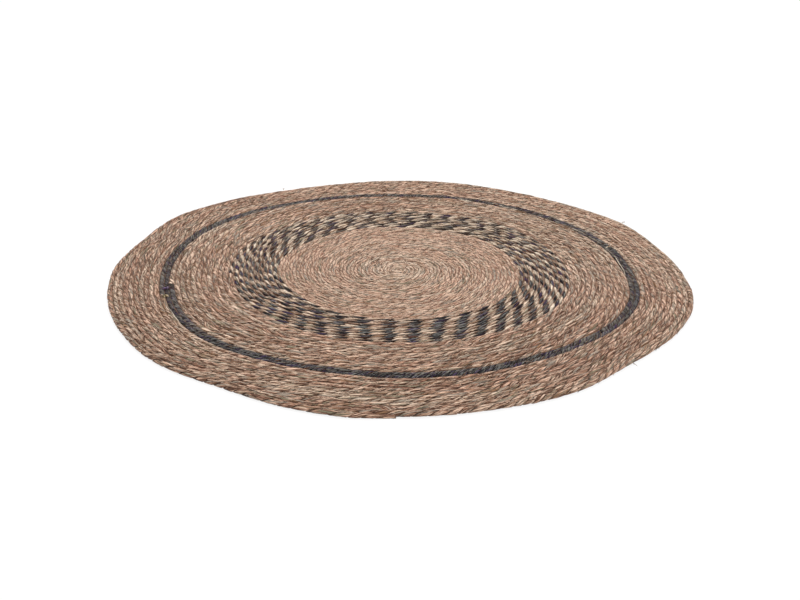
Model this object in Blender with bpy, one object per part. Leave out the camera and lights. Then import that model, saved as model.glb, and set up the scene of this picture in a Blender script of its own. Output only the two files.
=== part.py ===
"""Round rug of twisted cord, coiled flat in one spiral and joined from five lengths.

Metres, +Z up. The rug lies on z = 0, with the middle of its outline at the origin.
The spiral runs counter-clockwise from the middle outwards. A place along it is a turn:
turn 12.5 is twelve and a half rounds from the start, and its fraction is the bearing,
counter-clockwise from +X. Each round is a rib in the top of its solid.
"""

import math
from collections import namedtuple

import bmesh
import bpy
from mathutils import Vector

# Sizes of the whole rug
RUG_RADIUS = 0.600
DARK_RING_RADIUS = 0.485
BAND_RADIUS = 0.300
SEAM_GAP = 0.0003

# One row for each length of cord, from the middle out. It ends after that many rounds, at that bearing
Length = namedtuple("Length", "node rounds bearing pitch height sectors colour roughness")
LENGTHS = (
    Length("centre_coil", 32, 192, 0.00778, 0.0080, 30, "B79A84", 0.82),
    Length("two_tone_band", 42, 186, 0.01040, 0.0098, 60, "807468", 0.85),
    Length("inner_field", 53, 192, 0.01066, 0.0100, 60, "A2856D", 0.84),
    Length("dark_ring", 55, 198, 0.01040, 0.0100, 60, "44474C", 0.88),
    Length("outer_border", 65, 270, 0.01020, 0.0102, 60, "9C7F69", 0.84),
)

# How far the coil departs from a true circle at each bearing, in percent of its radius
Bulge = namedtuple("Bulge", "bearing at_band at_ring at_edge")
BULGES = (
    Bulge(0, -0.2, -0.2, 0.2),
    Bulge(15, 0.1, 0.0, -0.4),
    Bulge(30, 1.0, 0.0, 1.2),
    Bulge(45, 2.7, 0.6, -0.2),
    Bulge(60, 3.3, 0.7, 0.1),
    Bulge(75, 2.6, 1.2, 1.8),
    Bulge(90, 2.5, 0.1, 1.2),
    Bulge(105, 2.9, 0.3, -1.1),
    Bulge(120, 1.2, 0.3, -2.1),
    Bulge(135, -0.8, 1.1, 0.0),
    Bulge(150, -1.5, 1.3, 0.8),
    Bulge(165, -1.6, 0.1, -2.0),
    Bulge(180, -2.6, -1.3, -1.5),
    Bulge(195, -2.8, -1.4, -1.3),
    Bulge(210, -2.7, 0.1, -0.5),
    Bulge(225, -2.6, 1.4, 0.7),
    Bulge(240, -0.4, 0.4, -0.2),
    Bulge(255, 0.2, -0.7, 2.2),
    Bulge(270, -0.2, -0.2, 3.6),
    Bulge(285, 0.2, -0.5, 2.6),
    Bulge(300, 0.3, -1.2, 1.7),
    Bulge(315, 0.6, -0.5, -1.4),
    Bulge(330, 0.9, 1.1, 0.1),
    Bulge(345, 0.8, 1.3, 1.5),
)
ROUND_CORE = 0.060  # the radius within which the coil stays a true circle

# Cord section, as shares of its height or width
VALLEY_DEPTH = 0.62  # how high the valley between two rounds lies
EDGE_WAIST = 0.45  # how high the rim is widest
EDGE_TUCK = 0.28  # how far the rim's foot lies inside its waist
END_TAPER = 0.02  # the share of a turn over which the cord's last end narrows
END_WIDTH = 0.15  # how wide it still is at its tip
CREASE_ANGLE = 50  # degrees: a sharper fold than this is drawn sharp


def end_turn(length):
    return length.rounds + length.bearing / 360


def coil_radius(turn):
    """The radius of the cord's centreline on the true spiral."""
    radius, start = 0.0, 0.0
    for length in LENGTHS:
        stop = end_turn(length)
        if turn <= stop or length is LENGTHS[-1]:
            return radius + (turn - start) * length.pitch
        radius += (stop - start) * length.pitch
        start = stop


def valley_radius(turn):
    """The valley outside the round at this turn, halfway to the next round."""
    return (coil_radius(turn) + coil_radius(turn + 1)) / 2


def smooth_step(share):
    share = min(max(share, 0.0), 1.0)
    return share * share * (3 - 2 * share)


def bulge(bearing):
    """(at_band, at_ring, at_edge) as shares, on a smooth closed curve through the table's rows."""
    step = 360 / len(BULGES)
    row, part = divmod(bearing % 360 / step, 1)
    near = [BULGES[(int(row) + k) % len(BULGES)] for k in (-1, 0, 1, 2)]

    def through(p, q, r, s):
        bend = 2 * p - 5 * q + 4 * r - s
        rise = 3 * (q - r) + s - p
        return (2 * q + part * (r - p + part * (bend + part * rise))) / 200

    return (
        through(*(row.at_band for row in near)),
        through(*(row.at_ring for row in near)),
        through(*(row.at_edge for row in near)),
    )


def grown(radius, bearing):
    """A radius on the true spiral, moved to where the hand-coiled cord lies."""
    at_band, at_ring, at_edge = bulge(bearing)
    if radius < BAND_RADIUS:
        share = smooth_step((radius - ROUND_CORE) / (BAND_RADIUS - ROUND_CORE))
        return radius * (1 + at_band * share)
    if radius < DARK_RING_RADIUS:
        share = smooth_step((radius - BAND_RADIUS) / (DARK_RING_RADIUS - BAND_RADIUS))
        return radius * (1 + at_band + (at_ring - at_band) * share)
    share = (radius - DARK_RING_RADIUS) / (RUG_RADIUS - DARK_RING_RADIUS)
    return radius * (1 + at_ring + (at_edge - at_ring) * share)


def flat_place(turn, radius):
    """A point of the plan, measured from the middle of the coil."""
    around = 2 * math.pi * turn
    reach = grown(radius, 360 * turn)
    return Vector((reach * math.cos(around), reach * math.sin(around), 0))


def tip_width(turn):
    """How much of its full width the cord has left, 1 but for its tapered last end."""
    left = (end_turn(LENGTHS[-1]) - turn) / END_TAPER
    return END_WIDTH + (1 - END_WIDTH) * min(left, 1.0)


def tip_height(turn):
    """The same of its full height, which falls half as much."""
    return (1 + tip_width(turn)) / 2


def rim_radius(turn):
    """The outer side of the last round."""
    inner = valley_radius(turn - 1)
    return inner + (valley_radius(turn) - inner) * tip_width(turn)


def outline_middle():
    """The middle of the outline's box, which becomes the origin."""
    last = LENGTHS[-1]
    turns = [end_turn(last) - k / last.sectors for k in range(last.sectors + 1)]
    rim = [flat_place(turn, rim_radius(turn)) for turn in turns]
    xs, ys = [p.x for p in rim], [p.y for p in rim]
    return Vector(((min(xs) + max(xs)) / 2, (min(ys) + max(ys)) / 2, 0))


def cord_material(length):
    """Natural plant fibre, matt, in the length's own colour."""
    material = bpy.data.materials.new(length.node + "_fibre")
    material.use_nodes = True
    shader = material.node_tree.nodes["Principled BSDF"]
    parts = [int(length.colour[k : k + 2], 16) / 255 for k in (0, 2, 4)]
    linear = [c / 12.92 if c <= 0.04045 else ((c + 0.055) / 1.055) ** 2.4 for c in parts]
    shader.inputs["Base Color"].default_value = (*linear, 1)
    shader.inputs["Roughness"].default_value = length.roughness
    shader.inputs["Metallic"].default_value = 0
    material.diffuse_color = (*linear, 1)
    return material


class Coil:
    """The ribbed top of one length of cord, and then its closed solid."""

    def __init__(self, length, start, middle):
        self.length, self.middle = length, middle
        self.sectors = length.sectors
        self.is_first = start == 0
        self.is_last = length is LENGTHS[-1]
        self.first = self.sectors if self.is_first else round(start * self.sectors)
        self.last = round(end_turn(length) * self.sectors)
        self.mesh = bmesh.new()
        self.crests = [self.crest(k) for k in range(self.first, self.last + 1)]
        valleys = range(self.first - self.sectors, self.last + 1)
        self.valleys = [self.valley(k) for k in valleys]

    def vertex(self, turn, radius, height, end_shift):
        """A point of the top. The ends of the length stand back by half a seam."""
        turn += end_shift * SEAM_GAP / 2 / (2 * math.pi * max(radius, SEAM_GAP))
        place = flat_place(turn, radius) - self.middle
        return self.mesh.verts.new((place.x, place.y, height))

    def end_shift(self, index, offsets):
        if not self.is_first and index - self.first in offsets:
            return 1
        if not self.is_last and index - self.last in offsets:
            return -1
        return 0

    def crest(self, index):
        turn = index / self.sectors
        radius, height = coil_radius(turn), self.length.height
        if self.is_last:
            inner = valley_radius(turn - 1)
            radius = inner + (radius - inner) * tip_width(turn)
            height *= tip_height(turn)
        return self.vertex(turn, radius, height, self.end_shift(index, (0,)))

    def valley(self, index):
        turn = index / self.sectors
        radius, height = valley_radius(turn), self.length.height * VALLEY_DEPTH
        if index <= self.first and not self.is_first:
            radius += SEAM_GAP / 2
        elif index > self.last - self.sectors and self.is_last:
            radius, height = rim_radius(turn), self.length.height * EDGE_WAIST
        elif index >= self.last - self.sectors and not self.is_last:
            radius -= SEAM_GAP / 2
        return self.vertex(turn, radius, height, self.end_shift(index, (-self.sectors, 0)))

    def rib_faces(self):
        """Two strips for each step along the cord: up from the inner valley, and down to the outer one."""
        n = self.sectors
        for k in range(self.last - self.first):
            inner, outer = self.valleys[k : k + 2], self.valleys[k + n : k + n + 2]
            crest = self.crests[k : k + 2]
            self.mesh.faces.new((inner[0], inner[1], crest[1], crest[0]))
            self.mesh.faces.new((crest[0], crest[1], outer[1], outer[0]))

    def button_faces(self):
        """The first round, closed over the middle by a low dome."""
        loop = self.valleys[: self.sectors + 1] + [self.crests[0]]
        button = self.mesh.faces.new(loop)
        top = bmesh.ops.poke(self.mesh, faces=[button])["verts"][0]
        top.co = (-self.middle.x, -self.middle.y, self.length.height)

    def close(self):
        """Walls down to the floor from every open edge, and one flat face under them."""
        open_edges = [e for e in self.mesh.edges if e.is_boundary]
        made = bmesh.ops.extrude_edge_only(self.mesh, edges=open_edges)["geom"]
        feet = [v for v in made if isinstance(v, bmesh.types.BMVert)]
        rim = self.valleys[-self.sectors :] if self.is_last else []
        for foot in feet:
            foot.co.z = 0
            if any(edge.other_vert(foot) in rim for edge in foot.link_edges):
                from_middle = foot.co.xy + self.middle.xy
                foot.co.xy -= from_middle.normalized() * EDGE_TUCK * self.length.pitch
        floor_edges = [e for e in self.mesh.edges if e.is_boundary]
        bmesh.ops.triangle_fill(self.mesh, use_beauty=True, edges=floor_edges)
        bmesh.ops.recalc_face_normals(self.mesh, faces=self.mesh.faces)

    def to_object(self, collection):
        self.rib_faces()
        if self.is_first:
            self.button_faces()
        self.close()
        data = bpy.data.meshes.new(self.length.node)
        self.mesh.to_mesh(data)
        self.mesh.free()
        data.materials.append(cord_material(self.length))
        data.shade_smooth()
        data.set_sharp_from_angle(angle=math.radians(CREASE_ANGLE))
        rug_piece = bpy.data.objects.new(self.length.node, data)
        collection.objects.link(rug_piece)


def main():
    for old in list(bpy.data.objects):
        bpy.data.objects.remove(old)
    collection = bpy.data.collections.new("coiled_rug")
    bpy.context.scene.collection.children.link(collection)
    middle = outline_middle()
    start = 0
    for length in LENGTHS:
        Coil(length, start, middle).to_object(collection)
        start = end_turn(length)


main()
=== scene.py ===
"""The looks of a round rug of twisted plant-fibre cord, coiled flat in one spiral.

Metres, +Z up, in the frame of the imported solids. A place along the spiral is a turn: turn 12.5
is twelve and a half rounds from its start, and the fraction is the bearing, counter-clockwise
from +X. Each cord is two or three plies twisted round each other, each ply its own closed tube.
"""

import math
from collections import namedtuple

import bpy
import numpy as np
from bpy.props import FloatProperty, FloatVectorProperty, IntProperty, PointerProperty
from mathutils import Matrix, Vector


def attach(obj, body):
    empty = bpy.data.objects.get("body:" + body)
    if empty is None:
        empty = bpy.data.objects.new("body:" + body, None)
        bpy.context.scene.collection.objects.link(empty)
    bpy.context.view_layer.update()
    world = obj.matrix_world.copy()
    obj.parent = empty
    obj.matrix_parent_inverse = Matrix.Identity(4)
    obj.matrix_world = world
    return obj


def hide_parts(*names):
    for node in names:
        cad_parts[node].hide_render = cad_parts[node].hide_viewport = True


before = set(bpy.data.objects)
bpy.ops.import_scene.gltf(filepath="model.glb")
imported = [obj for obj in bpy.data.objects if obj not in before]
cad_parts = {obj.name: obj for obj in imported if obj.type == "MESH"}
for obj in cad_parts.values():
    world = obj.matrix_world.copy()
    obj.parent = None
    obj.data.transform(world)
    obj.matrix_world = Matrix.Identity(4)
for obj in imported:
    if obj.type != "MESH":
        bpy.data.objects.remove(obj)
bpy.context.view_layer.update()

bl_info = {
    "name": "Coiled cord rug",
    "version": (1, 0, 0),
    "blender": (4, 5, 0),
    "location": "3D View > Sidebar > Rug",
    "description": "Builds the twisted cords, fibres and stage of a round coiled rug",
    "category": "Add Mesh",
}

# The spiral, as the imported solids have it
RUG_RADIUS = 0.600
DARK_RING_RADIUS = 0.485
BAND_RADIUS = 0.300

# One row for each length of cord, from the middle out. It ends after that many rounds, at that
# bearing. The lay is the cord's length for one full twist, the step that from one ring of points
# to the next, and the tone its lightness
Cord = namedtuple("Cord", "node slot rounds bearing pitch height plies lay step tone")
CORDS = (
    Cord("centre_coil", "centre_cord", 32, 192, 0.00778, 0.0080, 2, 0.040, 0.0046, 0.10),
    Cord("two_tone_band", "two_tone_cord", 42, 186, 0.01040, 0.0098, 2, 0.042, 0.0050, 0.00),
    Cord("inner_field", "field_cord", 53, 192, 0.01066, 0.0100, 2, 0.050, 0.0052, 0.00),
    Cord("dark_ring", "dark_cord", 55, 198, 0.01040, 0.0100, 3, 0.024, 0.0024, 0.00),
    Cord("outer_border", "border_cord", 65, 270, 0.01020, 0.0102, 2, 0.050, 0.0052, -0.01),
)
CENTRE, BAND, FIELD, RING, BORDER = CORDS
FIRST_TURN = 0.5
LAST_TURN = BORDER.rounds + BORDER.bearing / 360
FRONT = 270  # the bearing that faces the camera
BACK = 90

# The single straws on top of each cord: the cord's length for each of them, half their usual
# length, and how far they usually run across the cord for each metre along it
TopStraws = namedtuple("TopStraws", "spacing reach slant")
TOP_STRAWS = {
    CENTRE: TopStraws(0.0075, 0.010, 0.16),
    BAND: TopStraws(0.0100, 0.006, 0.55),
    FIELD: TopStraws(0.0065, 0.013, 0.20),
    RING: TopStraws(0.0100, 0.004, 0.70),
    BORDER: TopStraws(0.0065, 0.013, 0.24),
}

# How far the coil departs from a true circle at each bearing, in percent of its radius
Bulge = namedtuple("Bulge", "bearing at_band at_ring at_edge")
BULGES = (
    Bulge(0, -0.2, -0.2, 0.2),
    Bulge(15, 0.1, 0.0, -0.4),
    Bulge(30, 1.0, 0.0, 1.2),
    Bulge(45, 2.7, 0.6, -0.2),
    Bulge(60, 3.3, 0.7, 0.1),
    Bulge(75, 2.6, 1.2, 1.8),
    Bulge(90, 2.5, 0.1, 1.2),
    Bulge(105, 2.9, 0.3, -1.1),
    Bulge(120, 1.2, 0.3, -2.1),
    Bulge(135, -0.8, 1.1, 0.0),
    Bulge(150, -1.5, 1.3, 0.8),
    Bulge(165, -1.6, 0.1, -2.0),
    Bulge(180, -2.6, -1.3, -1.5),
    Bulge(195, -2.8, -1.4, -1.3),
    Bulge(210, -2.7, 0.1, -0.5),
    Bulge(225, -2.6, 1.4, 0.7),
    Bulge(240, -0.4, 0.4, -0.2),
    Bulge(255, 0.2, -0.7, 2.2),
    Bulge(270, -0.2, -0.2, 3.6),
    Bulge(285, 0.2, -0.5, 2.6),
    Bulge(300, 0.3, -1.2, 1.7),
    Bulge(315, 0.6, -0.5, -1.4),
    Bulge(330, 0.9, 1.1, 0.1),
    Bulge(345, 0.8, 1.3, 1.5),
)
ROUND_CORE = 0.060  # the radius within which the coil stays a true circle
CALM_CORE = 0.020  # the radius within which its seams hardly stray
TIGHT_CORE = 0.030  # the radius within which a cord's rings of points stand closer together
TIGHTEST = 0.3  # and the least share of its step that they come down to
END_TAPER = 0.02  # the share of a turn over which the cord's last end narrows
END_WIDTH = 0.15  # how wide it still is at its tip
END_HEIGHT = 0.15  # and how high it would be if it ran out to nothing
OUTLINE_SECTORS = 60  # the steps of the solids' last round
FINE_SECTORS = 2000  # the steps of a round from which a cord's rings are chosen

# A ply's corners, (outward, across) in shares of the cord's width from the cord's middle. Plies
# press each other flat, so that only a narrow cleft is left between them
PLY_CORNERS = {
    2: ((0.01, 0.31), (0.19, 0.46), (0.48, 0.17), (0.48, -0.17), (0.19, -0.46), (0.01, -0.31)),
    3: ((0.06, 0.08), (0.31, 0.37), (0.48, 0.14), (0.48, -0.14), (0.31, -0.37), (0.06, -0.08)),
}
PLY_MIDDLE = 0.25  # how far a ply's own middle stands from the cord's
PLY_GIRTH = 2.4  # the way round a ply, in pitches of its cord
FLATNESS = 0.68  # 1 would leave the plies as round as their corners; less presses the cord flat
CROWN = 0.54  # the farthest that a point stands over the cord's middle, in cord heights
STRAW_LEAN = 0.93  # 1 would keep each straw of a ply parallel to the cord
PLY_STRANDS = 0.37  # by how much the strand number of a cord's next ply differs
FLOOR_GAP = 0.0002

# What varies along a cord: by how much, over how many metres of it, and from which seed
Noise = namedtuple("Noise", "size spacing seed")
SEEDS_PER_CORD = 100
NOISES = {
    "twist": Noise(1.0, 0.10, 1),
    "fine_twist": Noise(0.3, 0.035, 3),
    "height": Noise(1.0, 0.035, 2),
    "thickness": Noise(0.14, 0.03, 10),
    "tone": Noise(0.08, 0.18, 30),
    "wear": Noise(0.35, 0.5, 40),
    "fine_wear": Noise(0.15, 0.08, 41),
    "band_wear": Noise(0.15, 0.3, 40),
    "band_fading": Noise(0.2, 0.2, 41),
}

# How silvery plain fibre is, or how faded dyed fibre, and how much more so at the front and back
Wear = namedtuple("Wear", "usual front back")
PLAIN_WEAR = Wear(0.15, 0.0, 0.0)
BAND_WEAR = Wear(0.92, -0.50, -0.25)
BAND_FADING = Wear(0.05, 0.0, 0.6)
# Painted light and shade on the border: lighter at the right, darker at the front
BORDER_PAINTED_LIGHT = ((15, 0.06), (FRONT, -0.02))  # (bearing, how much lighter the border is there)

# Painted shade in the cleft between two plies: how far a ply's colour turns to the dark brown of the
# gaps there, and how far from the cord's middle that starts and over how much it grows, in cord widths
CLEFT_SHADE, CLEFT_START, CLEFT_REACH = 0.8, 0.48, 0.20
# Painted shade the same way towards the seam beside the next round. It is darkest at the front and
# back, where the seams run across the view
SIDE_SEAM_SHADE, SEAM_SHADE_MORE, SEAM_START, SEAM_REACH = 0.05, 0.45, 0.02, 0.22

# A single straw on top of a cord. A pair holds the ends of the range that each one draws from
STRAW_SEED = 700
STRAW_RINGS = 4
STRAW_LENGTHS = (0.5, 1.4)  # in usual lengths
STRAW_SLANTS = (-0.2, 1.8)  # in usual slants
STRAW_PLACES = (-0.30, 0.34)  # outward from the cord's middle, in cord widths
STRAW_LIMIT = 0.46  # and the farthest that its ends come
STRAW_CLEAR = 0.03  # how much of each end of a cord has none
STRAW_HALF_WIDTHS = (0.0005, 0.0012)
STRAW_NARROWING = 0.7
STRAW_LIFTS = (0.0003, 0.0007)  # how high its middle stands over its ends
STRAW_SINK = 0.0003  # how deep its ends lie in the plies
STRAW_ROOF = (-0.0004, 0.0002, -0.0004)  # the heights across it: an edge, the ridge, an edge
STRAW_GIRTH = 0.003
STRAW_STRANDS = (3, 50)  # its strand number, which sets it apart in the fibres' noise
STRAW_TONES = (-0.26, 0.24)
STRAW_WEAR = (-0.3, 0.4)  # how much more worn it is than its ply
# Painted shade on a single straw where it lies low on the cord, as on the plies towards the seams
STRAW_SHADE, STRAW_SHADE_START, STRAW_SHADE_REACH = 0.5, 0.30, 0.4  # as for the seams, by height

# A fine fibre that has worked loose
LOOSE_SEED = 900
LOOSE_CLEAR = 0.002  # the share of their area in its middle that stays clear
LOOSE_BENDS = (-0.35, 0.35)  # how far it bows, in half lengths
LOOSE_LIFTS = (0.0002, 0.0012)
LOOSE_SINK = 0.0002
LOOSE_WIDTHS = (0.6, 1.3)  # in usual widths
LOOSE_NARROWING = 0.5
LOOSE_GIRTH = 0.002
LOOSE_STRANDS = (60, 99)
LOOSE_TONES = (-0.25, 0.3)

# Single straws that lie across the others, by radius and bearing of both ends
Stray = namedtuple("Stray", "radius bearing end_radius end_bearing width")
STRAYS = (
    Stray(0.474, 38, 0.480, 19, 0.0030),
    Stray(0.478, 16.5, 0.495, 17.6, 0.0042),
    Stray(0.477, 16, 0.4735, -3, 0.0022),
    Stray(0.484, 73, 0.476, 68, 0.0030),
    Stray(0.486, 62, 0.479, 58, 0.0030),
    Stray(0.478, 58, 0.471, 49, 0.0030),
    Stray(0.4905, 200.5, 0.4940, 214, 0.0026),
)
# Bundles of straw ends. The heading and its spread are in degrees from outward
Bundle = namedtuple("Bundle", "kind radius bearing heading spread count length width")
BUNDLES = (
    Bundle("plum", 0.478, 195.0, 60, 80, 14, 0.013, 0.0036),
    Bundle("olive", 0.487, 199.4, 90, 20, 8, 0.013, 0.0040),
    Bundle("dark", 0.4710, 193.0, 40, 20, 4, 0.009, 0.0036),
    Bundle("plain", 0.596, 313.8, -10, 30, 6, 0.016, 0.0010),
    Bundle("plain", 0.603, 29.5, 40, 30, 4, 0.014, 0.0010),
    Bundle("plain", 0.592, 119.4, -30, 30, 4, 0.012, 0.0010),
)
SINGLE_GIRTH = 0.004
STRAY_SWAY = 0.0012
STRAY_LIFT = 0.0004  # how high a stray straw lies over the cords' crowns
STRAY_DROP = 0.0012  # and how far its ends drop
STRAY_NARROWING = 0.6
STRAY_LENGTH = 0.2  # on the strand map
STRAY_TONE = 0.35
BUNDLE_JITTER = (0.4, 0.2)  # how far a straw starts off: outward in its lengths, round in degrees
BUNDLE_LENGTHS = (0.6, 1.2)
BUNDLE_WIDTHS = (0.7, 1.2)
BUNDLE_HEIGHT = 0.0104
BUNDLE_PILE = 0.0014  # how much higher the topmost straw lies
BUNDLE_ARCH = 0.0012
BUNDLE_NARROWING = 0.7
BUNDLE_TONES = (-0.1, 0.15)
BUNDLE_WEAR = 0.4

# A thin dark sheet inside the cords, painted shade seen far down in the gaps between them, from its
# middle over the top and the rim to the middle underneath: the share of the way to the edge, and the
# height
SHEET_SECTORS = 720
SHEET_SHARES = (0.02, 0.25, 0.5, 0.75, 0.98, 1.0, 1.0, 0.98, 0.5, 0.02)
SHEET_MILLIMETRES = (5.0, 5.6, 6.6, 6.8, 6.8, 5.4, 2.6, 2.2, 2.2, 2.2)

# The two-tone cord: its twist is so near a whole number of twists to a round that the dark
# plies of neighbouring rounds fall side by side as bars, and drift into a checker between them
BAND_TWISTS_PER_TURN = -33.502
BAND_PHASE = 0.169
DYED_FATNESS = 0.82  # the dyed ply's thickness, as a share of the plain one's
DYED_THINNING = 0.12  # how much less it is at the back
EVEN_BEARING = 285  # where its twist is evenest

# How far it strays from even, in twists, at that bearing and opposite
Drift = namedtuple("Drift", "even loose spacing seed")
LONG_DRIFT = Drift(0.09, 0.45, 0.26, 5)
SHORT_DRIFT = Drift(0.07, 0.17, 0.05, 6)

# The streaks of the fibres' noise: how long one is along the ply, and how much detail it has.
# Straw that differs from the rest comes in patches that are a few straws wide
STRAW_STREAK = (0.028, 1.0)
FIBRE_STREAK = (0.014, 2.0)
PATCH_STREAK = (0.110, 0.0)
PATCH_STRAWS = 2.2
STRANDS_APART = 13.7  # how far apart in the noise the next strand number lies
LIGHT_FROM, LIGHT_TO = 0.50, 0.61  # where in the noise the light straws lie
DARK_FROM, DARK_TO = 0.48, 0.37
ODD_BLUR = 0.07  # over how much of the noise odd straw comes in
# Painted shade: the thin dark line between two straws stands for the shade in the groove there
CRACK, CRACK_WIDTH = 0.47, 0.020  # where in the noise the dark line between two straws lies
GRAIN_FROM, GRAIN_TO = (0.25, 0.75), (0.5, 1.5)  # how the fibres' noise scales the colour
STRAW_HEIGHT = 1.5  # how much more the straws rise in the bump than their fibres
BUMP_STRENGTH, BUMP_HEIGHT = 0.8, 0.0008
PLAIN_ROUGHNESS, PLAIN_IOR = 0.62, 1.3
DYED_ROUGHNESS, DYED_IOR = 0.88, 1.15
INNER_SCALE = (600, 40, 1)  # how fine the matted fibre's grain is, along the strand map
MATT_ROUGHNESS = 0.9


def linear(code):
    """An sRGB hex colour as linear red, green, blue."""
    parts = [int(code[k : k + 2], 16) / 255 for k in (0, 2, 4)]
    return tuple(c / 12.92 if c <= 0.04045 else ((c + 0.055) / 1.055) ** 2.4 for c in parts)


def colour(name, code, description):
    return FloatVectorProperty(
        name=name, description=description, subtype="COLOR", size=3, min=0, max=1, default=linear(code)
    )


def length(name, default, description):
    return FloatProperty(
        name=name, description=description, unit="LENGTH", precision=5, default=default
    )


def number(name, default, description, **settings):
    return FloatProperty(name=name, description=description, default=default, **settings)


class CordSizes(bpy.types.PropertyGroup):
    wander: length("Wander", 0.0008, "How far the seam between two rounds strays")
    wander_length: length("Wander length", 0.055, "The cord's length from one stray to the next")
    unevenness: number("Unevenness", 0.05, "How much the cord's height varies", subtype="FACTOR")
    lay_drift: number("Lay drift", 0.55, "How far the twist strays, in whole twists")
    straw_width: length("Straw width", 0.0019, "The width of one straw in a ply")
    fibre_width: length("Fibre width", 0.0007, "The width of one fibre of a straw")


class LooseSizes(bpy.types.PropertyGroup):
    fibres: IntProperty(name="Fibres", description="How many have worked loose", default=700)
    reach: length("Reach", 0.585, "The radius within which they lie")
    shortest: length("Shortest", 0.008, "The shortest of them")
    longest: length("Longest", 0.030, "The longest of them")
    thickness: length("Thickness", 0.0007, "The width of one")
    stray_angle: number("Stray angle", 28, "How far they turn from the cord's line, in degrees")


class FibreColours(bpy.types.PropertyGroup):
    tan: colour("Tan", "AE8169", "Dried plant fibre, most of the cord")
    pale: colour("Pale", "DAB79F", "Its lightest straws")
    brown: colour("Brown", "5F4130", "Its darkest straws")
    amber: colour("Amber", "8F6C50", "A few orange-brown straws")
    olive: colour("Olive", "857B64", "A few olive straws")
    grey: colour("Grey", "9F9182", "A few weathered grey straws")
    straw: colour("Straw", "C5AE93", "Plain fibre where it is worn, greyer")
    silver: colour("Silver", "EADBC6", "Its lightest straws there")
    # Painted shade: the dark brown given to clefts, seams, lines between straws and the sheet inside
    # the cords
    gap: colour("Gap", "2A1B14", "The inner fibres, deep between the plies")
    charcoal: colour("Charcoal", "353538", "The dyed fibre")
    ink: colour("Ink", "1A191B", "Its darkest straws")
    slate: colour("Slate", "7E7D79", "Its lighter straws")
    faded: colour("Faded", "6A5D52", "Where the dye has faded")
    plum: colour("Plum", "4C3E5A", "A few dyed straws with a violet cast")
    violet: colour("Violet", "54406A", "A knot of straw ends dyed violet")
    lilac: colour("Lilac", "76657F", "The lightest of those")
    lemon: colour("Lemon", "9A8F62", "A yellow-olive straw end")


class StageSizes(bpy.types.PropertyGroup):
    distance: length("Distance", 2.385, "From the camera to the middle of the coil")
    elevation: number(
        "Elevation", math.radians(22.15), "Of the camera above the floor", subtype="ANGLE"
    )
    roll: number(
        "Roll", math.radians(0.72), "Of the camera about its own line of sight", subtype="ANGLE"
    )
    lens: number("Lens", 51.08, "Focal length in millimetres")
    middle_across: number("Middle across", 397.7, "Where the coil's middle stands in the picture")
    middle_down: number("Middle down", 269.3, "How far below the picture's top it stands")
    floor: colour("Floor", "FCFCFC", "A plain pale studio floor")
    floor_glow: number("Floor glow", 0.85, "How strongly it is lit from below")
    floor_size: length("Floor size", 30.0, "The side of the floor")
    sky: number("Sky", 0.95, "How strongly the white surroundings shine")
    softbox_side: length("Softbox side", 3.0, "The side of the light overhead")
    softbox_power: number("Softbox power", 38, "Its power in watts")


PICTURE = (800, 600)  # the pixels in which the middle's place is given
SENSOR = 36.0  # the camera's, in millimetres
SOFTBOX_PLACE = (0.2, 0.5, 2.6)
FLOOR_REFLECTS = 0.15  # the share of the floor's colour that it reflects


# The spiral's plan

def smooth_step(share):
    """0 below 0 and 1 above 1, with an easy curve between them."""
    share = np.clip(share, 0, 1)
    return share * share * (3 - 2 * share)


def end_turn(cord):
    return cord.rounds + cord.bearing / 360


def route():
    """The turns at which the pitch changes, and the centreline's radius there."""
    turns, radii = [0.0], [0.0]
    for cord in CORDS:
        turns.append(end_turn(cord))
        radii.append(radii[-1] + (turns[-1] - turns[-2]) * cord.pitch)
    first, last = CENTRE.pitch, BORDER.pitch
    return [-2.0, *turns, turns[-1] + 2], [-2 * first, *radii, radii[-1] + 2 * last]


ROUTE_TURNS, ROUTE_RADII = route()


def coil_radius(turn):
    return np.interp(turn, ROUTE_TURNS, ROUTE_RADII)


def valley_radius(turn):
    """The valley outside the round at this turn, halfway to the next round."""
    return (coil_radius(turn) + coil_radius(turn + 1)) / 2


def bulge(turn):
    """(at_band, at_ring, at_edge) as shares, on a smooth closed curve through the table's rows."""
    step = 360 / len(BULGES)
    row, part = np.divmod(turn % 1 * 360 / step, 1)
    near = [(row.astype(int) + k) % len(BULGES) for k in (-1, 0, 1, 2)]

    def through(column):
        p, q, r, s = (column[k] for k in near)
        bend = 2 * p - 5 * q + 4 * r - s
        rise = 3 * (q - r) + s - p
        return (2 * q + part * (r - p + part * (bend + part * rise))) / 200

    return (
        through(np.array([b.at_band for b in BULGES])),
        through(np.array([b.at_ring for b in BULGES])),
        through(np.array([b.at_edge for b in BULGES])),
    )


def grown(turn, radius):
    """A radius on the true spiral, moved to where the hand-coiled cord lies."""
    at_band, at_ring, at_edge = bulge(turn)
    core = smooth_step((radius - ROUND_CORE) / (BAND_RADIUS - ROUND_CORE))
    field = smooth_step((radius - BAND_RADIUS) / (DARK_RING_RADIUS - BAND_RADIUS))
    beyond = np.maximum(radius - DARK_RING_RADIUS, 0) / (RUG_RADIUS - DARK_RING_RADIUS)
    return radius * (1 + at_band * core + (at_ring - at_band) * field + (at_edge - at_ring) * beyond)


def tip_width(turn):
    """How much of its full width the cord has left, 1 but for its tapered last end."""
    return END_WIDTH + (1 - END_WIDTH) * np.clip((LAST_TURN - turn) / END_TAPER, 0, 1)


def rim_radius(turn):
    """The outer side of the last round."""
    inner = valley_radius(turn - 1)
    return inner + (valley_radius(turn) - inner) * tip_width(turn)


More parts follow.
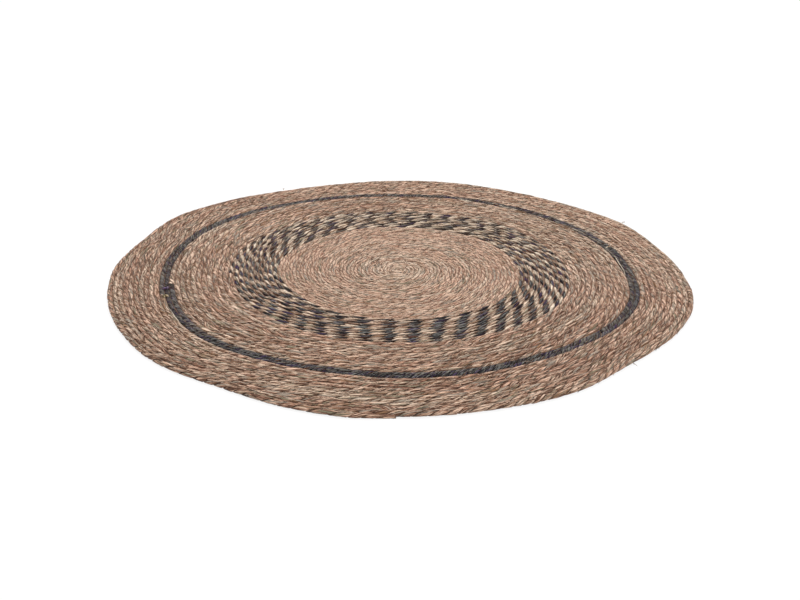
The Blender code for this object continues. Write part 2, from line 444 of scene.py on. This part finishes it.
def outline_middle():
    """The middle of the outline's box, measured from the middle of the coil."""
    turns = LAST_TURN - np.arange(OUTLINE_SECTORS + 1) / OUTLINE_SECTORS
    reach = grown(turns, rim_radius(turns))
    x, y = reach * np.cos(2 * np.pi * turns), reach * np.sin(2 * np.pi * turns)
    return np.array(((x.min() + x.max()) / 2, (y.min() + y.max()) / 2))


MIDDLE = outline_middle()


def smooth_noise(along, spacing, seed):
    """A seeded smooth curve between -1 and 1, with a new value every so many metres."""
    count = int(np.max(along) / spacing) + 3
    values = np.random.default_rng(seed).uniform(-1, 1, count)
    place = along / spacing
    row = place.astype(int)
    share = smooth_step(place - row)
    return values[row] * (1 - share) + values[row + 1] * share


class Spiral:
    """The whole spiral on a fine grid of turns, with each seam's stray from the true one."""

    GRID = 720
    WANDER_SEED = 11

    def __init__(self, sizes):
        self.turns = np.arange(-2 * self.GRID, (LAST_TURN + 1) * self.GRID) / self.GRID
        steps = 2 * np.pi * np.abs(coil_radius(self.turns)) / self.GRID
        self.travelled = np.cumsum(steps)
        stray = smooth_noise(self.travelled, sizes.wander_length, self.WANDER_SEED)
        self.strays = sizes.wander * stray * smooth_step(coil_radius(self.turns) / CALM_CORE)

    def seam(self, turn, radius):
        """The real radius of the seam outside this turn."""
        return grown(turn, radius) + np.interp(turn, self.turns, self.strays)

    def distance(self, turn):
        return np.interp(turn, self.turns, self.travelled)

    def lie(self, turn):
        """(middle in plan, outward direction, width) of the cord at each turn."""
        inner = self.seam(turn - 1, valley_radius(turn - 1))
        last_round = turn > LAST_TURN - 1
        outer = self.seam(turn, np.where(last_round, rim_radius(turn), valley_radius(turn)))
        reach = ((inner + outer) / 2)[:, None]
        around = 2 * np.pi * turn
        place = reach * np.stack((np.cos(around), np.sin(around)), 1)
        tangent = np.gradient(place, axis=0)
        tangent /= np.linalg.norm(tangent, axis=1)[:, None]
        outward = np.stack((tangent[:, 1], -tangent[:, 0]), 1)
        return place - MIDDLE, outward, outer - inner


def samples(spiral, cord, start, stop):
    """The turns of a cord's rings of points: at its step, and closer where the coil is tight."""
    fine = np.linspace(start, stop, int((stop - start) * FINE_SECTORS) + 2)
    tightness = np.clip(coil_radius(fine) / TIGHT_CORE, TIGHTEST, 1)
    paces = np.gradient(spiral.distance(fine)) / (cord.step * tightness)
    counted = np.cumsum(paces) - paces[0]
    return np.interp(np.linspace(0, counted[-1], int(counted[-1]) + 1), counted, fine)


# Meshes from arrays

def tube_faces(rings, sides, first):
    """Quads along a tube of rings of points, and a face across each end."""
    ring, side = np.meshgrid(np.arange(rings - 1), np.arange(sides), indexing="ij")
    here, ahead = ring * sides, (side + 1) % sides
    quads = (here + side, here + ahead, here + sides + ahead, here + sides + side)
    quads = np.stack(quads, -1).reshape(-1, 4)
    caps = [list(range(sides))[::-1], [(rings - 1) * sides + k for k in range(sides)]]
    return (quads + first).tolist() + [[k + first for k in cap] for cap in caps]


def tube_map(along, girth, lean, sides):
    """The strand map of the same faces: metres along the tube, and metres round it, which lean."""
    rings = len(along)
    u = np.repeat(along[:, None], sides + 1, 1)
    v = girth * np.linspace(0, 1, sides + 1)[None, :] + lean * u
    grid = np.stack((u, v), -1)
    quads = np.stack((grid[:-1, :-1], grid[:-1, 1:], grid[1:, 1:], grid[1:, :-1]), 2).reshape(-1, 2)
    caps = np.concatenate((grid[0, :sides][::-1], grid[rings - 1, :sides]))
    return np.concatenate((quads, caps))


RIDGE = 0.4  # how high a strand's ridge stands, in its widths
# Values at each point; one is the share of painted shade in clefts, seams and low on straws
POINT_VALUES = ("strand", "deep", "tone", "worn")


def strand(path, widths):
    """Rings of a three-sided strand along a path, with its flat side down."""
    ahead = np.gradient(path, axis=0)
    left = np.stack((-ahead[:, 1], ahead[:, 0], 0 * ahead[:, 0]), 1)
    left *= (widths / 2 / np.linalg.norm(left, axis=1))[:, None]
    top = path + np.stack((0 * widths, 0 * widths, RIDGE * widths), 1)
    return np.stack((path + left, top, path - left), 1)


class Builder:
    """Gathers tubes into one mesh, with a strand map and point attributes."""

    def __init__(self):
        self.points, self.faces, self.map, self.slots = [], [], [], []
        self.values = {name: [] for name in POINT_VALUES}
        self.count = 0

    def tube(self, rings, along, girth, lean=0.0, slot=0, **values):
        """rings is an array of rings of points. Each value is one number, or one for each ring
        or point."""
        steps, sides = rings.shape[:2]
        faces = tube_faces(steps, sides, self.count)
        self.points.append(rings.reshape(-1, 3))
        self.faces += faces
        self.map.append(tube_map(along, girth, lean, sides))
        self.slots += [slot] * len(faces)
        for name, held in self.values.items():
            value = np.broadcast_to(np.asarray(values.get(name, 0.0), float), (steps, sides))
            held.append(value.reshape(-1))
        self.count += steps * sides

    def to_object(self, name, materials):
        mesh = bpy.data.meshes.new(name)
        mesh.from_pydata(np.concatenate(self.points), [], self.faces)
        mesh.uv_layers.new(name="strand_map").data.foreach_set("uv", np.concatenate(self.map).ravel())
        for key, held in self.values.items():
            mesh.attributes.new(key, "FLOAT", "POINT").data.foreach_set("value", np.concatenate(held))
        mesh.polygons.foreach_set("material_index", self.slots)
        for material in materials:
            mesh.materials.append(material)
        mesh.shade_smooth()
        piece = bpy.data.objects.new(name, mesh)
        bpy.context.scene.collection.objects.link(piece)
        return piece


# Materials

def add(tree, kind, inputs=None, **settings):
    """One node. inputs gives a socket's value, or the socket that feeds it."""
    node = tree.nodes.new(kind)
    for key, value in settings.items():
        setattr(node, key, value)
    for key, value in (inputs or {}).items():
        socket = node.inputs[key]
        if isinstance(value, bpy.types.NodeSocket):
            tree.links.new(value, socket)
        elif socket.type == "RGBA":
            socket.default_value = (*value, 1)
        else:
            socket.default_value = value
    return node


def new_material(name):
    material = bpy.data.materials.new(name)
    material.use_nodes = True
    return material, material.node_tree, material.node_tree.nodes["Principled BSDF"]


# The colours of one kind of fibre. Each odd colour has a share, the place in the noise above
# which it shows, so that a larger share gives fewer such straws
Palette = namedtuple("Palette", "body light dark worn_body worn_light odd odd_share")


def fibre_material(name, palette, roughness, ior):
    """Straws of dried fibre, twisted into a ply. Long straws of many tans beside each other give
    the eye its streaks, fine fibres its grain, and painted shade darkens clefts, seams and cracks."""
    if name in bpy.data.materials:
        return bpy.data.materials[name]
    sizes, gap = bpy.context.scene.cord_sizes, bpy.context.scene.fibre_colours.gap
    material, tree, shader = new_material(name)
    place = add(tree, "ShaderNodeUVMap", uv_map="strand_map").outputs["UV"]
    split = add(tree, "ShaderNodeSeparateXYZ", {0: place}).outputs
    strand, deep, tone, worn = (
        add(tree, "ShaderNodeAttribute", attribute_name=value).outputs["Fac"] for value in POINT_VALUES
    )
    at = add(tree, "ShaderNodeCombineXYZ", {0: split[0], 1: split[1], 2: strand}).outputs[0]
    noises = []
    for (along, detail), across in (
        (STRAW_STREAK, sizes.straw_width),
        (FIBRE_STREAK, sizes.fibre_width),
        (PATCH_STREAK, sizes.straw_width * PATCH_STRAWS),
    ):
        scale = (1 / along, 1 / across, STRANDS_APART)
        stretched = add(tree, "ShaderNodeVectorMath", {0: at, 1: scale}, operation="MULTIPLY")
        inputs = {"Vector": stretched.outputs[0], "Scale": 1.0, "Detail": detail}
        noises.append(add(tree, "ShaderNodeTexNoise", inputs).outputs)
    straws, fibres, patches = noises[0]["Fac"], noises[1]["Fac"], noises[2]["Color"]
    patches = add(tree, "ShaderNodeSeparateColor", {0: patches}).outputs
    straw_tones = add(tree, "ShaderNodeMath", {0: tone, 1: straws}, operation="ADD").outputs[0]

    base, light = (
        add(tree, "ShaderNodeMix", {0: worn, 6: fresh, 7: old}, data_type="RGBA").outputs[2]
        for fresh, old in ((palette.body, palette.worn_body), (palette.light, palette.worn_light))
    )
    layers = [
        (straw_tones, LIGHT_FROM, LIGHT_TO, light),
        (straw_tones, DARK_FROM, DARK_TO, palette.dark),
    ]
    for odd, share, patch in zip(palette.odd, palette.odd_share, patches):
        layers.append((patch, share, share + ODD_BLUR, odd))
    for noise, low, high, over in layers:
        inputs = {"Value": noise, "From Min": low, "From Max": high}
        cover = add(tree, "ShaderNodeMapRange", inputs, interpolation_type="SMOOTHSTEP").outputs[0]
        base = add(tree, "ShaderNodeMix", {0: cover, 6: base, 7: over}, data_type="RGBA").outputs[2]

    inputs = dict(zip(("From Min", "From Max", "To Min", "To Max"), GRAIN_FROM + GRAIN_TO))
    grain = add(tree, "ShaderNodeMapRange", {"Value": fibres, **inputs}).outputs[0]
    base = add(tree, "ShaderNodeVectorMath", {0: base, 3: grain}, operation="SCALE").outputs[0]
    # Painted shade: the dark line between straws, then the clefts and seams marked at the points, turn
    # to the dark brown
    inputs = {0: straws, 1: CRACK, 2: CRACK_WIDTH}
    crack = add(tree, "ShaderNodeMath", inputs, operation="COMPARE").outputs[0]
    for cover in (crack, deep):
        base = add(tree, "ShaderNodeMix", {0: cover, 6: base, 7: gap}, data_type="RGBA").outputs[2]
    tree.links.new(base, shader.inputs["Base Color"])
    shader.inputs["Roughness"].default_value = roughness
    shader.inputs["IOR"].default_value = ior

    inputs = {0: straws, 1: STRAW_HEIGHT, 2: fibres}
    height = add(tree, "ShaderNodeMath", inputs, operation="MULTIPLY_ADD").outputs[0]
    inputs = {"Strength": BUMP_STRENGTH, "Distance": BUMP_HEIGHT, "Height": height}
    bump = add(tree, "ShaderNodeBump", inputs).outputs[0]
    tree.links.new(bump, shader.inputs["Normal"])
    return material


def natural_fibre():
    """Dried sedge, undyed: pinkish tan where fresh and silvery where worn, with amber, olive and
    grey straws among it."""
    colours = bpy.context.scene.fibre_colours
    palette = Palette(
        colours.tan, colours.pale, colours.brown, colours.straw, colours.silver,
        (colours.amber, colours.olive, colours.grey), (0.66, 0.67, 0.63),
    )
    return fibre_material("Twisted natural sedge", palette, PLAIN_ROUGHNESS, PLAIN_IOR)


def dyed_fibre():
    """The same straw dyed charcoal, which took the dye unevenly, some of it violet, and fades to
    a warm grey."""
    colours = bpy.context.scene.fibre_colours
    palette = Palette(
        colours.charcoal, colours.slate, colours.ink, colours.faded, colours.grey,
        (colours.plum, colours.slate, colours.brown), (0.62, 0.70, 0.68),
    )
    return fibre_material("Twisted charcoal-dyed sedge", palette, DYED_ROUGHNESS, DYED_IOR)


def accent_fibre(name, body, light):
    """Straw of one strong colour: an end that took the dye another way, or none."""
    colours = bpy.context.scene.fibre_colours
    palette = Palette(body, light, colours.brown, body, light, (), ())
    return fibre_material(name, palette, PLAIN_ROUGHNESS, PLAIN_IOR)


def painted_shade_sheet_material():
    """Painted shade for the sheet inside the cords: dark brown mixed with tan, with a grain round the
    coil.
    """
    colours = bpy.context.scene.fibre_colours
    material, tree, shader = new_material("Matted inner fibre")
    place = add(tree, "ShaderNodeUVMap", uv_map="strand_map").outputs["UV"]
    inputs = {0: place, 1: INNER_SCALE}
    grain = add(tree, "ShaderNodeVectorMath", inputs, operation="MULTIPLY").outputs[0]
    noise = add(tree, "ShaderNodeTexNoise", {"Vector": grain, "Scale": 1.0}).outputs["Fac"]
    inputs = {0: noise, 6: colours.gap, 7: colours.tan}
    base = add(tree, "ShaderNodeMix", inputs, data_type="RGBA").outputs[2]
    tree.links.new(base, shader.inputs["Base Color"])
    shader.inputs["Roughness"].default_value = MATT_ROUGHNESS
    return material


def cord_materials(cord):
    """A natural and a dyed one for the band's plies, and one for each of the other cords."""
    if cord is BAND:
        return [natural_fibre(), dyed_fibre()]
    return [dyed_fibre() if cord is RING else natural_fibre()]


# Pieces

def all_cords():
    spiral = Spiral(bpy.context.scene.cord_sizes)
    starts = [FIRST_TURN] + [end_turn(cord) for cord in CORDS]
    return [TwistedCord(spiral, cord, start) for cord, start in zip(CORDS, starts)]


def twists(cord, turn, along, drift):
    """How many times the cord has twisted by each turn."""
    if cord is BAND:
        looseness = (1 - np.cos(2 * np.pi * (turn - EVEN_BEARING / 360))) / 2
        stray = 0
        for row in (LONG_DRIFT, SHORT_DRIFT):
            size = row.even + (row.loose - row.even) * looseness
            stray = stray + size * smooth_noise(along, row.spacing, row.seed)
        return BAND_TWISTS_PER_TURN * turn + turn**2 + BAND_PHASE + stray
    return (along + drift) / cord.lay


class TwistedCord:
    """One length of cord, its plies wound round each other, from the turn where it starts."""

    def __init__(self, spiral, cord, start):
        sizes = bpy.context.scene.cord_sizes
        self.cord, self.number = cord, CORDS.index(cord)
        self.turn = samples(spiral, cord, start, end_turn(cord))
        self.place, self.outward, self.width = spiral.lie(self.turn)
        self.along = spiral.distance(self.turn) - spiral.distance(self.turn[0])
        drift = sizes.lay_drift * (self.noise("twist") + self.noise("fine_twist"))
        swell = 1 + sizes.unevenness * self.noise("height")
        tip = END_HEIGHT + (1 - END_HEIGHT) * tip_width(self.turn)
        self.height = cord.height * tip * swell
        self.twists = twists(cord, self.turn, self.along, cord.lay * drift)
        self.fat = [1 + self.noise("thickness", ply) for ply in range(cord.plies)]
        if cord is BAND:
            self.fat[0] = (DYED_FATNESS - DYED_THINNING * self.towards(BACK)) * self.fat[0]
        self.corners = np.array(PLY_CORNERS[cord.plies])
        self.girth = PLY_GIRTH * cord.pitch

    def noise(self, kind, ply=0):
        row = NOISES[kind]
        seed = SEEDS_PER_CORD * self.number + row.seed + ply
        return row.size * smooth_noise(self.along, row.spacing, seed)

    def at(self, values, turn):
        """What is given along the cord, at other turns."""
        return np.interp(turn, self.turn, values)

    def at_distance(self, travelled):
        return np.interp(travelled, self.along, self.turn)

    def section(self, ply, turn):
        """(outward, up) of the ply's corners at each turn, as shares of the cord's width."""
        phase = 2 * np.pi * (self.at(self.twists, turn) + ply / self.cord.plies)[:, None]
        fat = self.at(self.fat[ply], turn)[:, None]
        stand = PLY_MIDDLE + (self.corners[:, 0] - PLY_MIDDLE) * fat
        across = self.corners[:, 1] * fat
        cosine, sine = np.cos(phase), np.sin(phase)
        return stand * cosine - across * sine, stand * sine + across * cosine

    def points(self, turn, outward, up, lift=0.0):
        """Places on the rug, outward and up from the cord's middle at each turn, in shares of its
        width."""
        turn = np.broadcast_to(turn[:, None], outward.shape)
        reach = outward * self.at(self.width, turn)
        plan = [
            self.at(place, turn) + self.at(outward, turn) * reach
            for place, outward in zip(self.place.T, self.outward.T)
        ]
        pressed = np.sign(up) * 0.5 * np.abs(2 * up) ** FLATNESS
        tall = self.at(self.height, turn) * (0.5 + np.clip(pressed, -0.5, CROWN)) + lift
        return np.stack((*plan, np.maximum(tall, FLOOR_GAP)), -1)

    def towards(self, bearing):
        """1 at this bearing, falling to 0 opposite it."""
        return ((1 + np.cos(2 * np.pi * (self.turn - bearing / 360))) / 2) ** 2

    def wear(self, row, *kinds):
        worn = row.usual + row.front * self.towards(FRONT) + row.back * self.towards(BACK)
        for kind in kinds:
            worn = worn + self.noise(kind)
        return worn

    def worn(self):
        """(how silvery plain fibre is, how faded dyed fibre is), along the cord."""
        if self.cord is BAND:
            return self.wear(BAND_WEAR, "band_wear"), self.wear(BAND_FADING, "band_fading")
        worn = self.wear(PLAIN_WEAR, "wear", "fine_wear")
        return worn, worn

    def border_painted_light(self):
        """Painted light: the border is a little lighter at the right, and painted shade makes it
        darker at the front.
        """
        if self.cord is not BORDER:
            return 0.0
        return sum(more * self.towards(bearing) for bearing, more in BORDER_PAINTED_LIGHT)

    def plies(self):
        builder = Builder()
        worn = self.worn()
        # Painted shade in the clefts and towards the seams, strongest in the seams at the front and
        # back
        ends = np.sin(2 * np.pi * self.turn) ** 2
        seam_shade = (SIDE_SEAM_SHADE + SEAM_SHADE_MORE * ends)[:, None]
        for ply in range(self.cord.plies):
            outward, up = self.section(ply, self.turn)
            cleft = CLEFT_SHADE * smooth_step((CLEFT_START - np.hypot(outward, up)) / CLEFT_REACH)
            seam = seam_shade * smooth_step((SEAM_START - up) / SEAM_REACH)
            # The border's share of the tone is painted light at the right and painted shade at the
            # front
            tone = (self.cord.tone + self.border_painted_light() + self.noise("tone", ply))[:, None]
            dyed = int(self.cord is BAND and ply == 0)
            builder.tube(
                self.points(self.turn, outward, up), self.along, self.girth, self.lean(), dyed,
                strand=self.number + ply * PLY_STRANDS, deep=np.maximum(cleft, seam), tone=tone,
                worn=worn[dyed][:, None],
            )
        return builder

    def lean(self):
        """How far round the ply a straw runs for each metre, so that it nearly keeps to the
        cord's line."""
        return -STRAW_LEAN * self.girth / self.cord.lay

    def crown(self, turn, across):
        """(how high the cord stands at a place across it, which ply is on top there)."""
        best, top = np.full(turn.shape, -0.5), np.zeros(turn.shape, int)
        for ply in range(self.cord.plies):
            outward, up = self.section(ply, turn)
            run, rise = np.roll(outward, -1, 1) - outward, np.roll(up, -1, 1) - up
            share = (across[:, None] - outward) / np.where(run == 0, 1, run)
            height = np.where((share >= 0) & (share <= 1), up + share * rise, -0.5).max(1)
            top = np.where(height > best, ply, top)
            best = np.maximum(best, height)
        return best, top

    def straws(self):
        """Single straws on top of the cord. Each rises from between the others, and sinks again."""
        rng = np.random.default_rng(STRAW_SEED + SEEDS_PER_CORD * self.number)
        cord, usual, builder = self.cord, TOP_STRAWS[self.cord], Builder()
        count = int(self.along[-1] / usual.spacing)
        share = np.linspace(-1, 1, STRAW_RINGS)[None, :]
        halves = usual.reach * rng.uniform(*STRAW_LENGTHS, count)[:, None]
        middles = rng.uniform(STRAW_CLEAR, self.along[-1] - STRAW_CLEAR, count)[:, None]
        travelled = middles + share * halves
        turn = self.at_distance(travelled)
        slant = usual.slant * rng.uniform(*STRAW_SLANTS, count)[:, None]
        places = rng.uniform(*STRAW_PLACES, count)[:, None]
        across = np.clip(places - slant * share * halves / cord.pitch, -STRAW_LIMIT, STRAW_LIMIT)
        high, top = self.crown(turn.ravel(), across.ravel())
        high, top = high.reshape(turn.shape), top.reshape(turn.shape)
        side = rng.uniform(*STRAW_HALF_WIDTHS, count)[:, None] / cord.pitch
        side = side * (1 - STRAW_NARROWING * share**2)
        lift = rng.uniform(*STRAW_LIFTS, count)[:, None] * (1 - share**2) - STRAW_SINK
        worn = self.worn()
        for k in range(count):
            outward = across[k][:, None] + side[k][:, None] * np.array((-1, 0, 1))
            up = np.repeat(high[k][:, None], 3, 1)
            raised = lift[k][:, None] + np.array(STRAW_ROOF)
            dyed = int(cord is BAND and top[k, STRAW_RINGS // 2] == 0)
            builder.tube(
                self.points(turn[k], outward, up, raised), travelled[k], STRAW_GIRTH, 0.0, dyed,
                strand=rng.uniform(*STRAW_STRANDS), tone=cord.tone + rng.uniform(*STRAW_TONES),
                # painted shade where the straw lies low on the cord
                deep=STRAW_SHADE * smooth_step((STRAW_SHADE_START - up) / STRAW_SHADE_REACH),
                worn=self.at(worn[dyed], turn[k, 0]) + rng.uniform(*STRAW_WEAR),
            )
        return builder


class RUG_OT_cords(bpy.types.Operator):
    """Twists the five lengths of cord and lays them round the coil"""

    bl_idname = "rug.cords"
    bl_label = "Twisted cords"

    def execute(self, context):
        pieces = []
        for twisted in all_cords():
            cord = twisted.cord
            piece = twisted.plies().to_object(cord.node + "_cord", cord_materials(cord))
            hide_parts(cord.node)
            straws = twisted.straws().to_object(cord.node + "_straws", cord_materials(cord))
            pieces += (piece, straws)
        for piece in pieces:
            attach(piece, "root")
        return {"FINISHED"}


def from_middle(radius, degrees):
    """A place in plan, by its radius and bearing from the middle of the coil."""
    around = np.radians(degrees)
    return np.stack((radius * np.cos(around), radius * np.sin(around)), -1) - MIDDLE


class RUG_OT_loose_fibres(bpy.types.Operator):
    """Strews loose fibres, stray straws and bundles of straw ends over the rug"""

    bl_idname = "rug.loose_fibres"
    bl_label = "Loose fibres"

    def execute(self, context):
        colours = context.scene.fibre_colours
        kinds = {
            "plain": natural_fibre(),
            "dark": dyed_fibre(),
            "plum": accent_fibre("Violet-dyed sedge", colours.violet, colours.lilac),
            "olive": accent_fibre("Olive sedge", colours.lemon, colours.straw),
        }
        rng = np.random.default_rng(LOOSE_SEED)
        fibres, ends = Builder(), Builder()
        self.scatter(fibres, context.scene.loose_sizes, rng)
        for stray in STRAYS:
            self.stray(fibres, stray, rng)
        for bundle in BUNDLES:
            self.bundle(ends, bundle, list(kinds).index(bundle.kind), rng)
        loose = fibres.to_object("loose_fibres", [kinds["plain"]])
        tied = ends.to_object("tied_ends", kinds.values())
        for piece in (loose, tied):
            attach(piece, "root")
        return {"FINISHED"}

    def scatter(self, builder, sizes, rng):
        """Fine fibres that have worked loose, each resting on the cords' crowns by its ends."""
        share = np.linspace(-1, 1, 5)
        for _ in range(sizes.fibres):
            radius = sizes.reach * math.sqrt(rng.uniform(LOOSE_CLEAR, 1))
            bearing = rng.uniform(0, 360)
            crown = CENTRE.height if radius < coil_radius(end_turn(CENTRE)) else BAND.height
            heading = math.radians(bearing + 90 + rng.normal(0, sizes.stray_angle))
            half = rng.uniform(sizes.shortest, sizes.longest) / 2
            bend = rng.uniform(*LOOSE_BENDS)
            ahead = np.array((math.cos(heading), math.sin(heading)))
            aside = np.array((-ahead[1], ahead[0]))
            bowed = share[:, None] * ahead + bend * share[:, None] ** 2 * aside
            plan = from_middle(radius, bearing) + half * bowed
            tall = crown - LOOSE_SINK + rng.uniform(*LOOSE_LIFTS) * (1 - share**2)
            path = np.concatenate((plan, tall[:, None]), 1)
            widths = sizes.thickness * rng.uniform(*LOOSE_WIDTHS) * (1 - LOOSE_NARROWING * share**2)
            builder.tube(
                strand(path, widths), share * half, LOOSE_GIRTH, strand=rng.uniform(*LOOSE_STRANDS),
                tone=rng.uniform(*LOOSE_TONES), worn=rng.uniform(0, 1),
            )

    def stray(self, builder, stray, rng):
        """A single straw along the coil, swaying a little."""
        share = np.linspace(0, 1, 24)
        wave = np.sin(share * rng.uniform(6, 12) + rng.uniform(0, 6))
        sway = STRAY_SWAY * wave * np.sin(np.pi * share)
        plan = from_middle(
            stray.radius + share * (stray.end_radius - stray.radius) + sway,
            stray.bearing + share * (stray.end_bearing - stray.bearing),
        )
        tall = BAND.height + STRAY_LIFT - STRAY_DROP * (2 * share - 1) ** 8
        path = np.concatenate((plan, tall[:, None]), 1)
        widths = stray.width * (1 - STRAY_NARROWING * (2 * share - 1) ** 4)
        builder.tube(
            strand(path, widths), share * STRAY_LENGTH, SINGLE_GIRTH,
            strand=rng.uniform(*LOOSE_STRANDS), tone=STRAY_TONE, worn=1.0,
        )

    def bundle(self, builder, bundle, slot, rng):
        """Short straight straws, fanned out from about one place."""
        share = np.linspace(0, 1, 6)
        off, round_off = BUNDLE_JITTER
        for _ in range(bundle.count):
            start = from_middle(
                bundle.radius + rng.uniform(-off, off) * bundle.length,
                bundle.bearing + rng.uniform(-round_off, round_off),
            )
            heading = bundle.bearing + bundle.heading + rng.uniform(-1, 1) * bundle.spread
            heading = math.radians(heading)
            run = bundle.length * rng.uniform(*BUNDLE_LENGTHS) * (share[:, None] - 0.4)
            plan = start + run * np.array((math.cos(heading), math.sin(heading)))
            tall = BUNDLE_HEIGHT + rng.uniform(0, BUNDLE_PILE) + BUNDLE_ARCH * np.sin(np.pi * share)
            path = np.concatenate((plan, tall[:, None]), 1)
            narrowed = 1 - BUNDLE_NARROWING * (2 * share - 1) ** 4
            widths = bundle.width * rng.uniform(*BUNDLE_WIDTHS) * narrowed
            builder.tube(
                strand(path, widths), share * bundle.length, SINGLE_GIRTH, 0.0, slot,
                strand=rng.uniform(*LOOSE_STRANDS), tone=rng.uniform(*BUNDLE_TONES), worn=BUNDLE_WEAR,
            )


class RUG_OT_painted_shade_sheet(bpy.types.Operator):
    """Adds one thin dark sheet inside all the cords, painted shade seen as brown far down in the gaps
    """

    bl_idname = "rug.inner_fibres"
    bl_label = "Dark shade sheet"

    def execute(self, context):
        spiral = Spiral(context.scene.cord_sizes)
        turn = LAST_TURN - 1 + (np.arange(SHEET_SECTORS) + 0.5) / SHEET_SECTORS
        edge, _, _ = spiral.lie(turn)
        edge += MIDDLE
        shares, heights = np.array(SHEET_SHARES), np.array(SHEET_MILLIMETRES) / 1000
        rings = np.zeros((len(shares), len(turn), 3))
        rings[..., :2] = shares[:, None, None] * edge[None] - MIDDLE
        rings[..., 2] = heights[:, None]
        builder = Builder()
        builder.tube(rings[::-1], shares[::-1] * RUG_RADIUS, 2 * math.pi * RUG_RADIUS, 0.0)
        sheet = builder.to_object("inner_fibres", [painted_shade_sheet_material()])
        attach(sheet, "root")
        return {"FINISHED"}


class RUG_OT_stage(bpy.types.Operator):
    """Adds the floor, the lights and the camera"""

    bl_idname = "rug.stage"
    bl_label = "Stage"

    def execute(self, context):
        self.floor(context.scene.stage_sizes)
        self.lights(context.scene)
        self.camera(context.scene)
        return {"FINISHED"}

    def floor(self, sizes):
        bpy.ops.object.select_all(action="DESELECT")
        bpy.ops.mesh.primitive_plane_add(size=sizes.floor_size)
        floor = bpy.context.object
        floor.name = "studio_floor"
        material, _, shader = new_material("Matt white paper")
        shader.inputs["Base Color"].default_value = [FLOOR_REFLECTS * c for c in sizes.floor] + [1]
        shader.inputs["Emission Color"].default_value = (*sizes.floor, 1)
        shader.inputs["Emission Strength"].default_value = sizes.floor_glow
        shader.inputs["Roughness"].default_value = MATT_ROUGHNESS
        floor.data.materials.append(material)

    def lights(self, scene):
        world = bpy.data.worlds.new("studio")
        world.use_nodes = True
        background = world.node_tree.nodes["Background"]
        background.inputs["Color"].default_value = (1, 1, 1, 1)
        background.inputs["Strength"].default_value = scene.stage_sizes.sky
        scene.world = world
        light = bpy.data.lights.new("overhead_softbox", "AREA")
        light.size = scene.stage_sizes.softbox_side
        light.energy = scene.stage_sizes.softbox_power
        lamp = bpy.data.objects.new("overhead_softbox", light)
        lamp.location = SOFTBOX_PLACE
        lamp.rotation_euler = (-Vector(SOFTBOX_PLACE)).to_track_quat("-Z", "Y").to_euler()
        scene.collection.objects.link(lamp)

    def camera(self, scene):
        """The line to the coil's middle, turned until the middle stands where the picture has it."""
        sizes = scene.stage_sizes
        wide, tall = PICTURE
        focal = sizes.lens / SENSOR * wide
        middle = Vector((-MIDDLE[0], -MIDDLE[1], CENTRE.height))
        forward = Vector((0, math.cos(sizes.elevation), -math.sin(sizes.elevation)))
        place = middle - forward * sizes.distance
        right = Vector((1, 0, 0))
        up = right.cross(forward)
        pitch = Matrix.Rotation(math.atan((sizes.middle_down - tall / 2) / focal), 3, right)
        forward, up = pitch @ forward, pitch @ up
        yaw = Matrix.Rotation(math.atan((sizes.middle_across - wide / 2) / focal), 3, up)
        forward, right = yaw @ forward, yaw @ right
        roll = Matrix.Rotation(-sizes.roll, 3, forward)
        right, up = roll @ right, roll @ up
        turned = Matrix((right, up, -forward)).transposed().to_4x4()
        data = bpy.data.cameras.new("camera")
        data.lens, data.sensor_width = sizes.lens, SENSOR
        camera = bpy.data.objects.new("camera", data)
        camera.matrix_world = Matrix.Translation(place) @ turned
        scene.collection.objects.link(camera)
        scene.camera = camera


class RUG_PT_panel(bpy.types.Panel):
    """Builds the rug's pieces, and sets their sizes and colours"""

    bl_label = "Coiled cord rug"
    bl_idname = "RUG_PT_panel"
    bl_space_type = "VIEW_3D"
    bl_region_type = "UI"
    bl_category = "Rug"

    def draw(self, context):
        for kind in PIECES:
            self.layout.operator(kind.bl_idname)
        for name in GROUPS:
            group = getattr(context.scene, name)
            for setting in group.__annotations__:
                self.layout.prop(group, setting)


PIECES = (RUG_OT_cords, RUG_OT_painted_shade_sheet, RUG_OT_loose_fibres, RUG_OT_stage)
GROUPS = {
    "cord_sizes": CordSizes,
    "loose_sizes": LooseSizes,
    "fibre_colours": FibreColours,
    "stage_sizes": StageSizes,
}


def register():
    for kind in (*GROUPS.values(), *PIECES, RUG_PT_panel):
        bpy.utils.register_class(kind)
    for name, group in GROUPS.items():
        setattr(bpy.types.Scene, name, PointerProperty(type=group))


def unregister():
    for name in GROUPS:
        delattr(bpy.types.Scene, name)
    for kind in (RUG_PT_panel, *reversed(PIECES), *reversed(GROUPS.values())):
        bpy.utils.unregister_class(kind)


def main():
    register()
    bpy.context.scene.view_settings.view_transform = "Standard"
    bpy.ops.rug.cords()
    bpy.ops.rug.inner_fibres()
    bpy.ops.rug.loose_fibres()
    bpy.ops.rug.stage()
    bpy.context.view_layer.update()


if __name__ == "__main__":
    main()
